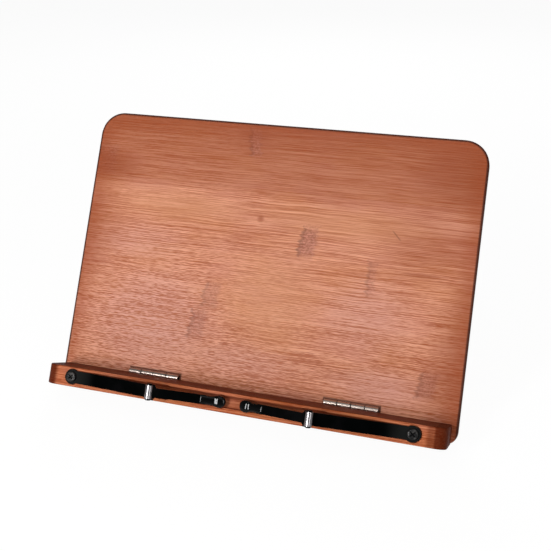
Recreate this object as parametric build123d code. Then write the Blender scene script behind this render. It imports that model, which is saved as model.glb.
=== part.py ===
from build123d import *

import os
from math import asin, atan2, cos, degrees, hypot, radians, sin

# The stand is drawn in the board's own axes: x along its width, y up its face
# from the top of the ledge, z out of its front face. Sizes are millimetres.

# Back board
BOARD_WIDTH = 340.0
BOARD_HEIGHT = 240.0
BOARD_THICK = 8.0
BOARD_TOP_CORNER = 20.5
BOARD_FOOT_CORNER = 10.0
BOARD_EDGE_ROUND = 1.2
BOARD_FOOT_FLAT = 3.0
RECLINE = 28.5  # degrees back from upright

# Ledge
LEDGE_WIDTH = 330.0
LEDGE_DEPTH = 40.0
LEDGE_HEIGHT = 16.0
LEDGE_CORNER = 10.0
LEDGE_EDGE_ROUND = 1.0
LEDGE_GAP = 0.3
CHANNEL_DEPTH = 2.5
CHANNEL_WIDTH = 9.2
CHANNEL_DROP = 7.7  # from the ledge's top to the channel's middle line
POCKET_GAP = 0.6
FINGER_POCKET = (26.0, 11.8)

# Hinges between board and ledge
HINGE_SPACING = 170.0
HINGE_LENGTH = 45.0
HINGE_KNUCKLES = 4
KNUCKLE_RADIUS = 2.8
KNUCKLE_GAP = 0.8
LEAF_THICK = 0.9
LEAF_DROP = 12.6
HINGE_RISE = 1.2
HINGE_PIN_RADIUS = 1.1
HINGE_SWING_GAP = 0.3
HINGE_SCREW_SPACING = 28.0
HINGE_SCREW_DROP = 7.6

# Wood screws with countersunk heads
CSK_HEAD_RADIUS = 2.6
CSK_SHANK_RADIUS = 1.4
CSK_RECESS = (2.8, 0.7, 0.7)  # length, width and depth of the cross
BOARD_SCREW_LENGTH = 6.2
LEDGE_SCREW_LENGTH = 12.0

# Page clips
CLIP_INSET = 25.0  # from the ledge's end to the pivot screw
CLIP_TIP_INSET = 10.5  # from the ledge's middle to the tip
CLIP_UPPER_LENGTH = 54.0
CLIP_SLEEVE_RISE = 17.4  # sleeve axis in front of the ledge
CLIP_THICK = 1.2
CLIP_LIFT = 0.3  # back of the arm in front of the ledge
CLIP_DISC_RADIUS = 6.0
CLIP_LOWER_WIDTH = 10.0
CLIP_UPPER_WIDTH = 7.2
CLIP_NECK_WIDTH = 5.6  # of the arm inside the tip's sheath
CLIP_BEND_START = 5.0  # where the arm starts to curve away from the ledge, from the screw
CLIP_BEND_RADIUS = 60.0
CLIP_CURL = 42.0  # degrees of sleeve that the arm's end wraps
SLEEVE_RADIUS = 3.1
SLEEVE_LENGTH = 10.4
SLEEVE_WALL = 0.5
SLEEVE_END = 0.9
EAR_THICK = 0.7
EAR_RADIUS = 2.4
EAR_GAP = 0.15
CLIP_PIN_RADIUS = 1.1
CLIP_PIN_HEAD = (1.8, 0.4)
SPRING_WIRE = 0.6
SPRING_TURNS = 4
TIP_RADIUS = 4.8
TIP_THICK = 4.6
TIP_SHEATH = 11.0
TIP_WALL = 0.8
TIP_FLOAT = 0.35
PIVOT_RADIUS = 2.0
PIVOT_HEAD_RADIUS = 4.2
PIVOT_HEAD_HEIGHT = 2.3
PIVOT_RECESS = (5.0, 1.0, 1.3)  # length, width and depth of the cross
PIVOT_DEPTH = 14.0
WASHER_RADIUS = 4.6

# Rear leg, hinged behind the board
LEG_PIVOT_HEIGHT = 150.0
LEG_PIVOT_SETBACK = 6.0  # behind the board's rear face
LEG_OPEN = 50.0  # degrees from the board
LEG_THICK = 8.0
LEG_WIDTH = 112.0
LEG_RAIL_WIDTH = 20.0
LEG_HEAD_RAIL = 14.0
WINDOW_CORNER = 5.0
LEG_EDGE_ROUND = 1.0
LEG_PIN_RADIUS = 2.0
LEG_PIN_HEAD = (4.0, 1.6)
LEG_PIN_DEPTH = 15.0
SHEET_THICK = 1.6
BRACKET_HEIGHT = 22.0
BRACKET_WIDTH = 18.0
BRACKET_EAR_RADIUS = 5.0
BRACKET_SCREW_SPACING = 13.0
SIDE_GAP = 0.4

# Stay that holds the leg, and the slotted rails it slides in
STAY_LENGTH = 60.0
LINK_RADIUS = 3.8
LINK_THICK = 2.0
STAY_PIN_RADIUS = 2.0
STAY_PIN_HEAD = (3.6, 1.4)
STAY_PIN_DEPTH = 12.0
SPACER_RADIUS = 3.5
ROD_RADIUS = 2.0
ROD_CAP_RADIUS = 3.6
ROD_CAP_THICK = 1.4
RAIL_SPACING = 60.0
RAIL_HEIGHT = 12.0
RAIL_FLANGE = 12.0
RAIL_END = 5.0
RAIL_SLOT_GAP = 0.1
RAIL_NOTCHES = 4
RAIL_NOTCH_DEPTH = 1.1
RAIL_SCREW_INSET = 9.0

# Fits
RUNNING_GAP = 0.05
SEAT_GAP = 0.02

BIG = 2.0 * (BOARD_WIDTH + BOARD_HEIGHT)

board_top = BOARD_HEIGHT - LEDGE_HEIGHT
board_back = -BOARD_THICK
hinge_axis = KNUCKLE_RADIUS - LEAF_THICK
swing_radius = KNUCKLE_RADIUS + HINGE_SWING_GAP
clip_x = LEDGE_WIDTH / 2 - CLIP_INSET
sleeve_x = CLIP_TIP_INSET + CLIP_UPPER_LENGTH
clip_lower_length = clip_x - sleeve_x
clip_y = -CHANNEL_DROP
tip_slope_guess = atan2(CLIP_SLEEVE_RISE, CLIP_UPPER_LENGTH)
tip_rise = TIP_FLOAT + TIP_THICK / 2 + (TIP_RADIUS - TIP_THICK / 2) * sin(tip_slope_guess)
tip_slope = atan2(CLIP_SLEEVE_RISE - tip_rise, CLIP_UPPER_LENGTH)
leg_pivot_z = board_back - LEG_PIVOT_SETBACK
leg_spread = radians(LEG_OPEN)
rod_rest = 2 * STAY_LENGTH * cos(leg_spread)
rod_folded = 2 * STAY_LENGTH


def floor_level():
    """Height of the floor along the upright, with a small flat on the board's rear bottom edge."""
    lean = radians(RECLINE)
    corner = -LEDGE_HEIGHT * cos(lean) + board_back * sin(lean)
    return corner + BOARD_FOOT_FLAT * sin(lean) * cos(lean)


def stood_up(shape):
    """Turn a shape from the board's axes to the standing stand, with the floor at z = 0."""
    return Pos(0, 0, -floor_level()) * Rot(90 - RECLINE, 0, 0) * shape


def above_floor(shape):
    """Cut a shape drawn in the board's axes flat where it meets the floor."""
    lift = Pos(0, 0, BIG / 2 + floor_level())
    floor_block = Rot(RECLINE - 90, 0, 0) * lift * Box(BIG, BIG, BIG)
    return shape & floor_block


def cylinder_x(radius, low, high, y=0.0, z=0.0):
    """Round bar along x from low to high."""
    bar = Rot(0, 90, 0) * Cylinder(radius, high - low)
    return Pos((low + high) / 2, y, z) * bar


def block(low, high):
    """Box between two corners."""
    size = [b - a for a, b in zip(low, high)]
    middle = [(a + b) / 2 for a, b in zip(low, high)]
    return Pos(*middle) * Box(*size)


def mirrored(shape):
    """Left-hand copy of a right-hand piece, or the reverse."""
    return mirror(shape, about=Plane.YZ)


def cross_recess(size):
    """Cross cut into a screw's head from z = 0 downwards."""
    length, width, depth = size
    return Box(length, width, 2 * depth) + Box(width, length, 2 * depth)


def countersunk_screw(length):
    """Screw with its head's top at z = 0, pointing along -z."""
    head = Pos(0, 0, -LEAF_THICK / 2) * Cone(CSK_SHANK_RADIUS, CSK_HEAD_RADIUS, LEAF_THICK)
    head -= Rot(0, 0, 45) * cross_recess(CSK_RECESS)
    shank = Pos(0, 0, -length / 2 - LEAF_THICK / 2) * Cylinder(CSK_SHANK_RADIUS, length - LEAF_THICK)
    point = Pos(0, 0, -length - CSK_SHANK_RADIUS / 2) * Cone(0.2, CSK_SHANK_RADIUS, CSK_SHANK_RADIUS)
    return head + shank + point


def screw_room(length, plate):
    """Space that a countersunk screw takes in a plate and in the wood under it."""
    gap = SEAT_GAP
    head = Pos(0, 0, -plate / 2) * Cone(CSK_SHANK_RADIUS + gap, CSK_HEAD_RADIUS + gap, plate)
    depth = length + CSK_SHANK_RADIUS + gap
    return head + Pos(0, 0, -depth / 2) * Cylinder(CSK_SHANK_RADIUS + gap, depth)


def rounded_board():
    """Back board with its large top corners, small foot corners and softened edges."""
    outline = Pos(0, (board_top - LEDGE_HEIGHT) / 2) * Rectangle(BOARD_WIDTH, BOARD_HEIGHT)
    corners = outline.vertices().sort_by(Axis.Y)
    outline = fillet(corners[:2], BOARD_FOOT_CORNER)
    outline = fillet(outline.vertices().sort_by(Axis.Y)[-2:], BOARD_TOP_CORNER)
    board = extrude(outline, -BOARD_THICK)
    rims = board.faces().filter_by(Axis.Z).edges()
    return above_floor(fillet(rims, BOARD_EDGE_ROUND))


def hinge_xs():
    """Middle of each board hinge along x."""
    return (-HINGE_SPACING / 2, HINGE_SPACING / 2)


def hinge_screw_places():
    """Screw places on a leaf, from the middle of its hinge's pin."""
    y = -HINGE_RISE - HINGE_SCREW_DROP
    return [(x, y) for x in (-HINGE_SCREW_SPACING / 2, HINGE_SCREW_SPACING / 2)]


def knuckle_span(index):
    """Ends of one knuckle along x, counted from the hinge's left end."""
    pitch = HINGE_LENGTH / HINGE_KNUCKLES
    low = -HINGE_LENGTH / 2 + index * pitch
    return low + KNUCKLE_GAP / 2, low + pitch - KNUCKLE_GAP / 2


def hinge_leaf(first, plate_back, screw_face, inward):
    """Leaf with every second knuckle, about its pin's axis. plate_back is the plate's rear face.

    Screws enter at screw_face and point along inward, which is 1 or -1 along z.
    """
    half = HINGE_LENGTH / 2
    bottom = -HINGE_RISE - LEAF_DROP
    leaf = block((-half, bottom, plate_back), (half, 0, plate_back + LEAF_THICK))
    for index in range(HINGE_KNUCKLES):
        low, high = knuckle_span(index)
        if index % 2 == first:
            leaf += cylinder_x(KNUCKLE_RADIUS, low, high)
        else:
            room = (low - KNUCKLE_GAP, -swing_radius, -BIG)
            leaf -= block(room, (high + KNUCKLE_GAP, BIG, BIG))
    leaf -= cylinder_x(HINGE_PIN_RADIUS + RUNNING_GAP, -half, half)
    for x, y in hinge_screw_places():
        room = screw_room(LEDGE_SCREW_LENGTH, LEAF_THICK)
        if inward > 0:
            room = Rot(180, 0, 0) * room
        leaf -= Pos(x, y, screw_face) * room
    return leaf


def leaf_mortise(front, back):
    """Recess in the wood for one leaf, about its pin's axis, between two z levels."""
    half = HINGE_LENGTH / 2 + RUNNING_GAP
    bottom = -HINGE_RISE - LEAF_DROP - RUNNING_GAP
    plate = block((-half, bottom, back), (half, 0, front))
    knuckles = cylinder_x(swing_radius, -half, half)
    return plate + knuckles


def backboard():
    """Board with mortises for the hinge leaves and holes for every screw that enters it."""
    board = rounded_board()
    for x in hinge_xs():
        centre = Pos(x, HINGE_RISE, hinge_axis)
        board -= centre * leaf_mortise(BIG, -hinge_axis - LEAF_THICK)
        for sx, sy in hinge_screw_places():
            board -= Pos(x + sx, HINGE_RISE + sy, 0) * screw_room(BOARD_SCREW_LENGTH, LEAF_THICK)
    for x, y in bracket_screw_places() + rail_screw_places():
        room = Rot(180, 0, 0) * screw_room(BOARD_SCREW_LENGTH, SHEET_THICK)
        board -= Pos(x, y, board_back - SHEET_THICK) * room
    return board


def channel():
    """Routed channel in the ledge's front, with round pockets at screws, sleeves and tips."""
    tool = SlotOverall(2 * clip_x + CHANNEL_WIDTH, CHANNEL_WIDTH)
    for side in (-1, 1):
        tool += Pos(side * clip_x, 0) * Circle(CLIP_DISC_RADIUS + POCKET_GAP)
        tool += Pos(side * CLIP_TIP_INSET, 0) * Circle(TIP_RADIUS + POCKET_GAP)
        tool += Pos(side * sleeve_x, 0) * SlotOverall(*FINGER_POCKET)
    floor = LEDGE_DEPTH - CHANNEL_DEPTH
    return Pos(0, clip_y, floor) * extrude(tool, CHANNEL_DEPTH * 2)


def ledge_bar():
    """Ledge with rounded front corners, the channel, the hinge mortises and screw holes."""
    depth = LEDGE_DEPTH - LEDGE_GAP
    outline = Pos(0, -(LEDGE_GAP + depth / 2)) * Rectangle(LEDGE_WIDTH, depth)
    outline = fillet(outline.vertices().sort_by(Axis.Y)[:2], LEDGE_CORNER)
    bar = extrude(Plane.XZ * mirror(outline, about=Plane.XZ), LEDGE_HEIGHT)
    bar = fillet(bar.faces().filter_by(Axis.Y).edges(), LEDGE_EDGE_ROUND)
    bar -= channel()
    for side in (-1, 1):
        hole = Cylinder(PIVOT_RADIUS + SEAT_GAP, PIVOT_DEPTH * 2)
        bar -= Pos(side * clip_x, clip_y, LEDGE_DEPTH) * hole
    for x in hinge_xs():
        bar -= Pos(x, HINGE_RISE, hinge_axis) * leaf_mortise(LEDGE_GAP + LEAF_THICK - hinge_axis, -BIG)
        for sx, sy in hinge_screw_places():
            room = Rot(180, 0, 0) * screw_room(LEDGE_SCREW_LENGTH, LEAF_THICK)
            bar -= Pos(x + sx, HINGE_RISE + sy, LEDGE_GAP) * room
    return bar


def board_leaf(x):
    """Leaf screwed to the board, sunk flush with its front face."""
    leaf = hinge_leaf(0, -hinge_axis - LEAF_THICK, -hinge_axis, -1)
    return Pos(x, HINGE_RISE, hinge_axis) * leaf


def ledge_leaf(x):
    """Leaf screwed to the ledge, sunk flush with its back face."""
    leaf = hinge_leaf(1, LEDGE_GAP - hinge_axis, LEDGE_GAP - hinge_axis, 1)
    return Pos(x, HINGE_RISE, hinge_axis) * leaf


def hinge_pin(x):
    """Plain pin through all knuckles of one hinge."""
    half = HINGE_LENGTH / 2
    return cylinder_x(HINGE_PIN_RADIUS, x - half, x + half, HINGE_RISE, hinge_axis)


def group(shapes):
    """Separate solids of one node."""
    return Compound(children=[Solid(s.solid().wrapped) for s in shapes])


def board_leaf_screws():
    """Four screws that hold the board leaves."""
    places = [(x + sx, HINGE_RISE + sy) for x in hinge_xs() for sx, sy in hinge_screw_places()]
    return group([Pos(x, y, 0) * countersunk_screw(BOARD_SCREW_LENGTH) for x, y in places])


def ledge_leaf_screws():
    """Four screws that hold the ledge leaves."""
    places = [(x + sx, HINGE_RISE + sy) for x in hinge_xs() for sx, sy in hinge_screw_places()]
    turned = Rot(180, 0, 0) * countersunk_screw(LEDGE_SCREW_LENGTH)
    return group([Pos(x, y, LEDGE_GAP) * turned for x, y in places])


# The left page clip is drawn from its screw: x towards the middle, z from the ledge's front face.

sleeve_centre = (clip_lower_length, CLIP_SLEEVE_RISE)
arm_level = CLIP_LIFT + CLIP_THICK / 2
wrap_radius = SLEEVE_RADIUS + SEAT_GAP + CLIP_THICK / 2


def flat_section(start, end, thick):
    """Strip seen from its edge, between two points of its middle line."""
    length = hypot(end[0] - start[0], end[1] - start[1])
    angle = degrees(atan2(end[1] - start[1], end[0] - start[0]))
    middle = ((start[0] + end[0]) / 2, (start[1] + end[1]) / 2)
    return Pos(*middle) * Rot(0, 0, angle) * Rectangle(length, thick)


def arc_section(centre, radius, sweep, thick):
    """Strip seen from its edge, bent round a centre from straight below it by sweep degrees."""
    ring = Circle(radius + thick / 2) - Circle(radius - thick / 2)
    reach = 2 * (radius + thick)
    wedge_points = [(0, 0)]
    for share in (0, 0.5, 1):
        angle = radians(share * sweep - 90)
        wedge_points.append((reach * cos(angle), reach * sin(angle)))
    wedge = make_face(Polyline(*wedge_points, close=True))
    return Pos(*centre) * (ring & wedge)


def below_centre(centre, radius, slope):
    """Point where a line at this slope passes under a circle and touches it."""
    return centre[0] + radius * sin(slope), centre[1] - radius * cos(slope)


def across(section, width):
    """Extrude a section of the clip evenly to both sides of its middle plane."""
    return extrude(Plane.XZ * section, width / 2, both=True)


def lower_arm():
    """Pressed steel arm: a disc on the pivot screw, a bend, and an end that wraps the sleeve."""
    bend_centre = (CLIP_BEND_START, arm_level + CLIP_BEND_RADIUS)
    run = (sleeve_centre[0] - bend_centre[0], sleeve_centre[1] - bend_centre[1])
    slope = atan2(run[1], run[0]) - asin((wrap_radius - CLIP_BEND_RADIUS) / hypot(*run))
    bend_end = below_centre(bend_centre, CLIP_BEND_RADIUS, slope)
    touch = below_centre(sleeve_centre, wrap_radius, slope)
    section = flat_section((-CLIP_DISC_RADIUS, arm_level), (CLIP_BEND_START, arm_level), CLIP_THICK)
    section += arc_section(bend_centre, CLIP_BEND_RADIUS, degrees(slope), CLIP_THICK)
    section += flat_section(bend_end, touch, CLIP_THICK)
    curl = arc_section((0, 0), wrap_radius, CLIP_CURL, CLIP_THICK)
    section += Pos(*sleeve_centre) * Rot(0, 0, degrees(slope)) * curl
    arm = across(section, 2 * CLIP_DISC_RADIUS)
    plan = Circle(CLIP_DISC_RADIUS)
    plan += Pos(BIG / 2, 0) * Rectangle(BIG, CLIP_LOWER_WIDTH)
    arm &= extrude(plan, BIG)
    return arm - Cylinder(PIVOT_RADIUS + RUNNING_GAP, BIG)


def in_upper_axes(shape):
    """Place a shape drawn from the sleeve's axis, with x along the upper arm."""
    return Pos(sleeve_centre[0], 0, sleeve_centre[1]) * Rot(0, degrees(tip_slope), 0) * shape


upper_length = hypot(CLIP_UPPER_LENGTH, CLIP_SLEEVE_RISE - tip_rise)
upper_root = SLEEVE_RADIUS + EAR_GAP
root_width = SLEEVE_LENGTH + 2 * (EAR_GAP + EAR_THICK)


def upper_arm():
    """Pressed steel arm with two ears on the sleeve's pin and a narrower end for the tip."""
    full = root_width / 2
    half = CLIP_UPPER_WIDTH / 2
    neck = CLIP_NECK_WIDTH / 2
    shoulder = upper_root + full - half
    step = upper_length - TIP_SHEATH - SEAT_GAP
    outline = Polyline(
        (upper_root, -full),
        (shoulder, -half),
        (step, -half),
        (step, -neck),
        (upper_length, -neck),
        (upper_length, neck),
        (step, neck),
        (step, half),
        (shoulder, half),
        (upper_root, full),
        close=True,
    )
    plate = extrude(make_face(outline), CLIP_THICK / 2, both=True)
    ear = Circle(EAR_RADIUS) + Pos(upper_root / 2, 0) * Rectangle(upper_root, EAR_RADIUS)
    ear += Pos(upper_root, 0) * Circle(EAR_RADIUS / 2)
    cheek = extrude(Plane.XZ * ear, EAR_THICK)
    for low in (-full + EAR_THICK, full):
        plate += Pos(0, low, 0) * cheek
    plate -= Rot(90, 0, 0) * Cylinder(CLIP_PIN_RADIUS + RUNNING_GAP, BIG)
    return in_upper_axes(plate)


def clip_tip():
    """Dipped round tip with a short sheath over the arm's end."""
    disc = Cylinder(TIP_RADIUS, TIP_THICK)
    disc = fillet(disc.edges().filter_by(GeomType.CIRCLE), TIP_THICK * 0.45)
    sheath_width = CLIP_NECK_WIDTH + 2 * TIP_WALL
    sheath_thick = CLIP_THICK + 2 * TIP_WALL
    sheath = Box(TIP_SHEATH, sheath_width, sheath_thick)
    sheath = chamfer(sheath.edges().filter_by(Axis.X), sheath_thick * 0.3)
    tip = disc + Pos(-TIP_SHEATH / 2, 0, 0) * sheath
    arm_room = Box(2 * TIP_SHEATH, CLIP_NECK_WIDTH + 2 * SEAT_GAP, CLIP_THICK + 2 * SEAT_GAP)
    tip -= Pos(SEAT_GAP - TIP_SHEATH, 0, 0) * arm_room
    return in_upper_axes(Pos(upper_length, 0, 0) * tip)


def clip_sleeve():
    """Bright sleeve with closed ends that holds the spring round the pin."""
    sleeve = Cylinder(SLEEVE_RADIUS, SLEEVE_LENGTH)
    sleeve -= Cylinder(SLEEVE_RADIUS - SLEEVE_WALL, SLEEVE_LENGTH - 2 * SLEEVE_END)
    sleeve -= Cylinder(CLIP_PIN_RADIUS + RUNNING_GAP, BIG)
    return Pos(sleeve_centre[0], 0, sleeve_centre[1]) * Rot(90, 0, 0) * sleeve


def clip_pin():
    """Headed pin through both ears and the sleeve."""
    head_radius, head_thick = CLIP_PIN_HEAD
    half = root_width / 2 + RUNNING_GAP
    pin = Cylinder(CLIP_PIN_RADIUS, 2 * half)
    for side in (-1, 1):
        pin += Pos(0, 0, side * (half + head_thick / 2)) * Cylinder(head_radius, head_thick)
    return Pos(sleeve_centre[0], 0, sleeve_centre[1]) * Rot(90, 0, 0) * pin


def clip_spring():
    """Torsion spring coiled round the pin, inside the sleeve."""
    room = SLEEVE_LENGTH - 2 * SLEEVE_END - SPRING_WIRE - 2 * EAR_GAP
    coil_radius = (CLIP_PIN_RADIUS + SLEEVE_RADIUS - SLEEVE_WALL) / 2
    path = Helix(room / SPRING_TURNS, room, coil_radius)
    start = Plane(origin=path @ 0, z_dir=path % 0)
    coil = sweep(start * RegularPolygon(SPRING_WIRE / 2, 6), path=path)
    coil = Pos(0, 0, -room / 2) * coil
    return Pos(sleeve_centre[0], 0, sleeve_centre[1]) * Rot(90, 0, 0) * coil


def pivot_washer():
    """Spacer between the channel's floor and the lower arm."""
    height = CHANNEL_DEPTH + CLIP_LIFT - RUNNING_GAP
    washer = Cylinder(WASHER_RADIUS, height) - Cylinder(PIVOT_RADIUS + RUNNING_GAP, BIG)
    return Pos(0, 0, height / 2 - CHANNEL_DEPTH) * washer


def pivot_screw():
    """Round-headed screw with a cross recess, on which the lower arm turns."""
    under_head = CLIP_LIFT + CLIP_THICK + RUNNING_GAP
    head = Pos(0, 0, under_head + PIVOT_HEAD_HEIGHT / 2) * Cylinder(PIVOT_HEAD_RADIUS, PIVOT_HEAD_HEIGHT)
    top_rim = head.edges().filter_by(GeomType.CIRCLE).sort_by(Axis.Z)[-1]
    head = fillet(top_rim, PIVOT_HEAD_HEIGHT * 0.55)
    top = under_head + PIVOT_HEAD_HEIGHT
    head -= Pos(0, 0, top) * Rot(0, 0, 45) * cross_recess(PIVOT_RECESS)
    low = SEAT_GAP - PIVOT_DEPTH
    shank = Pos(0, 0, (under_head + low) / 2) * Cylinder(PIVOT_RADIUS, under_head - low)
    return head + shank


def clip_pieces():
    """Pieces of the left clip, in place on the ledge."""
    pieces = {
        "pivot_washer": pivot_washer(),
        "pivot_screw": pivot_screw(),
        "clip_lower_arm": lower_arm(),
        "clip_sleeve": clip_sleeve(),
        "clip_spring": clip_spring(),
        "clip_pin": clip_pin(),
        "clip_upper_arm": upper_arm(),
        "clip_tip": clip_tip(),
    }
    return {name: Pos(-clip_x, clip_y, LEDGE_DEPTH) * piece for name, piece in pieces.items()}


# The leg is drawn folded flat behind the board, from its pivot: y up, z forward.

leg_half = LEG_WIDTH / 2
window_half = leg_half - LEG_RAIL_WIDTH
foot_turn = leg_spread - radians(RECLINE)


def pivot_above_floor():
    """Height of the leg's pivot above the floor."""
    lean = radians(RECLINE)
    return LEG_PIVOT_HEIGHT * cos(lean) + leg_pivot_z * sin(lean) - floor_level()


leg_length = pivot_above_floor() / cos(foot_turn)
window_foot = rod_folded + ROD_RADIUS + RAIL_SLOT_GAP + RAIL_END + 2.0


def opened_leg(shape):
    """Swing a shape drawn on the folded leg out to its resting place."""
    return Pos(0, LEG_PIVOT_HEIGHT, leg_pivot_z) * Rot(LEG_OPEN, 0, 0) * shape


def rear_leg():
    """Leg frame with a rounded head on the pivot, a window for the stay and a foot cut to the floor."""
    spare = LEG_THICK
    full = leg_length + spare
    frame_outline = Pos(0, -full / 2) * Rectangle(LEG_WIDTH, full)
    window_height = window_foot - LEG_HEAD_RAIL
    window = RectangleRounded(2 * window_half, window_height, WINDOW_CORNER)
    frame_outline -= Pos(0, -LEG_HEAD_RAIL - window_height / 2) * window
    frame = extrude(frame_outline, LEG_THICK / 2, both=True)
    rims = frame.faces().filter_by(Axis.Z).edges().filter_by(Axis.Y)
    frame = fillet(rims, LEG_EDGE_ROUND)
    frame += cylinder_x(LEG_THICK / 2, -leg_half, leg_half)
    for side in (-1, 1):
        inner = leg_half - LEG_PIN_DEPTH
        frame -= cylinder_x(LEG_PIN_RADIUS + SEAT_GAP, *sorted((side * inner, side * BIG)))
        stay_end = window_half + STAY_PIN_DEPTH
        stay_hole = cylinder_x(STAY_PIN_RADIUS + SEAT_GAP, *sorted((0, side * stay_end)))
        frame -= Pos(0, -STAY_LENGTH, 0) * stay_hole
    return above_floor(opened_leg(frame))


def leg_bracket():
    """Right-hand angle bracket: a base on the board's rear and an ear beside the leg."""
    ear_low = leg_half + SIDE_GAP
    y = BRACKET_HEIGHT / 2
    base_low = (ear_low, -y, LEG_PIVOT_SETBACK - SHEET_THICK)
    base = block(base_low, (ear_low + BRACKET_WIDTH, y, LEG_PIVOT_SETBACK))
    outer = base.edges().filter_by(Axis.Z).sort_by(Axis.X)[-2:]
    base = fillet(outer, BRACKET_HEIGHT / 5)
    rise = LEG_PIVOT_SETBACK
    web = [(BRACKET_EAR_RADIUS, 0), (y, rise), (-y, rise), (-BRACKET_EAR_RADIUS, 0)]
    ear = Circle(BRACKET_EAR_RADIUS) + make_face(Polyline(*web, close=True))
    bracket = base + Pos(ear_low, 0, 0) * extrude(Plane.YZ * ear, SHEET_THICK)
    bracket -= cylinder_x(LEG_PIN_RADIUS + RUNNING_GAP, 0, BIG)
    bracket = Pos(0, LEG_PIVOT_HEIGHT, leg_pivot_z) * bracket
    return screwed_to_board(bracket, bracket_screw_places())


def bracket_screw_places():
    """Screws of both leg brackets on the board's rear."""
    x = LEG_WIDTH / 2 + SIDE_GAP + SHEET_THICK + (BRACKET_WIDTH - SHEET_THICK) / 2
    ys = (LEG_PIVOT_HEIGHT - BRACKET_SCREW_SPACING / 2, LEG_PIVOT_HEIGHT + BRACKET_SCREW_SPACING / 2)
    return [(side * x, y) for side in (-1, 1) for y in ys]


def rail_ends():
    """Lowest and highest y of a rail, past both ends of its slot."""
    margin = ROD_RADIUS + RAIL_SLOT_GAP + RAIL_END
    return LEG_PIVOT_HEIGHT - rod_folded - margin, LEG_PIVOT_HEIGHT - rod_rest + margin


def rail_screw_places():
    """Screws of both slotted rails on the board's rear."""
    low, high = rail_ends()
    x = RAIL_SPACING / 2 - (RAIL_FLANGE - SHEET_THICK) / 2
    return [(side * x, y) for side in (-1, 1) for y in (low + RAIL_SCREW_INSET, high - RAIL_SCREW_INSET)]


def screwed_to_board(shape, places):
    """Cut countersunk holes in sheet that lies on the board's rear."""
    for x, y in places:
        room = Rot(180, 0, 0) * screw_room(BOARD_SCREW_LENGTH, SHEET_THICK)
        shape -= Pos(x, y, board_back - SHEET_THICK) * room
    return shape


def slotted_rail():
    """Right-hand rail: an angle with a slot for the rod and shallow notches along it."""
    low, high = rail_ends()
    web_x = RAIL_SPACING / 2
    web_outline = Pos(0, (low + high) / 2) * Rectangle(RAIL_HEIGHT, high - low)
    web_outline = fillet(web_outline.vertices().sort_by(Axis.X)[:2], RAIL_HEIGHT / 4)
    half = ROD_RADIUS + RAIL_SLOT_GAP
    slot_low = LEG_PIVOT_HEIGHT - rod_folded
    slot_high = LEG_PIVOT_HEIGHT - rod_rest
    offset_z = leg_pivot_z - (board_back - RAIL_HEIGHT / 2)
    slot = Rot(0, 0, 90) * SlotCenterToCenter(slot_high - slot_low, 2 * half)
    web_outline -= Pos(offset_z, (slot_low + slot_high) / 2) * slot
    for index in range(RAIL_NOTCHES):
        share = (index + 1) / (RAIL_NOTCHES + 1)
        notch_y = slot_low + share * (slot_high - slot_low)
        web_outline -= Pos(offset_z - RAIL_NOTCH_DEPTH, notch_y) * Circle(half)
    web = extrude(web_outline, SHEET_THICK)
    web = Pos(web_x + SHEET_THICK, 0, board_back - RAIL_HEIGHT / 2) * Rot(0, -90, 0) * web
    flange_low = (web_x + SHEET_THICK - RAIL_FLANGE, low, board_back - SHEET_THICK)
    flange = block(flange_low, (web_x + SHEET_THICK, high, board_back))
    return screwed_to_board(web + flange, rail_screw_places())


def stay_turned(shape):
    """Place a shape drawn on the stay, from its pivot with the rod below, at its resting place."""
    y = LEG_PIVOT_HEIGHT - STAY_LENGTH * cos(leg_spread)
    z = leg_pivot_z - STAY_LENGTH * sin(leg_spread)
    return Pos(0, y, z) * Rot(-LEG_OPEN, 0, 0) * shape


link_outer = RAIL_SPACING / 2 - SIDE_GAP
link_inner = link_outer - LINK_THICK


def stay_link():
    """Right-hand flat link between the leg's pin and the sliding rod."""
    outline = Rot(0, 0, 90) * SlotCenterToCenter(STAY_LENGTH, 2 * LINK_RADIUS)
    outline = Pos(-STAY_LENGTH / 2, 0) * Rot(0, 0, 90) * outline
    link = extrude(outline, LINK_THICK)
    link -= Cylinder(STAY_PIN_RADIUS + RUNNING_GAP, BIG)
    link -= Pos(-STAY_LENGTH, 0, 0) * Cylinder(ROD_RADIUS + SEAT_GAP, BIG)
    link = Pos(link_inner, 0, 0) * Plane(origin=(0, 0, 0), x_dir=(0, 1, 0), z_dir=(1, 0, 0)).location * link
    return stay_turned(link)


rod_half = RAIL_SPACING / 2 + SHEET_THICK + SIDE_GAP + ROD_CAP_THICK


def stay_rod():
    """Rod across both links that slides in the rails' slots."""
    rod = cylinder_x(ROD_RADIUS, -rod_half, rod_half, -STAY_LENGTH)
    return stay_turned(rod)


def rod_cap():
    """Push-on cap at the rod's right end."""
    low = rod_half - ROD_CAP_THICK
    high = rod_half + ROD_CAP_THICK / 2
    cap = cylinder_x(ROD_CAP_RADIUS, low, high, -STAY_LENGTH)
    cap -= cylinder_x(ROD_RADIUS + SEAT_GAP, low - 1, rod_half + SEAT_GAP, -STAY_LENGTH)
    return stay_turned(cap)


def stay_pin():
    """Right-hand pin, fixed in the leg's side rail, on which a link turns."""
    head_radius, head_thick = STAY_PIN_HEAD
    inner = link_inner - RUNNING_GAP
    pin = cylinder_x(STAY_PIN_RADIUS, inner - head_thick, window_half + STAY_PIN_DEPTH - SEAT_GAP)
    pin += cylinder_x(head_radius, inner - head_thick, inner)
    return opened_leg(Pos(0, -STAY_LENGTH, 0) * pin)


def stay_spacer():
    """Right-hand spacer between the link and the leg's side rail."""
    spacer = cylinder_x(SPACER_RADIUS, link_outer + RUNNING_GAP, window_half)
    spacer -= cylinder_x(STAY_PIN_RADIUS + SEAT_GAP, 0, leg_half)
    return opened_leg(Pos(0, -STAY_LENGTH, 0) * spacer)


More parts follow.
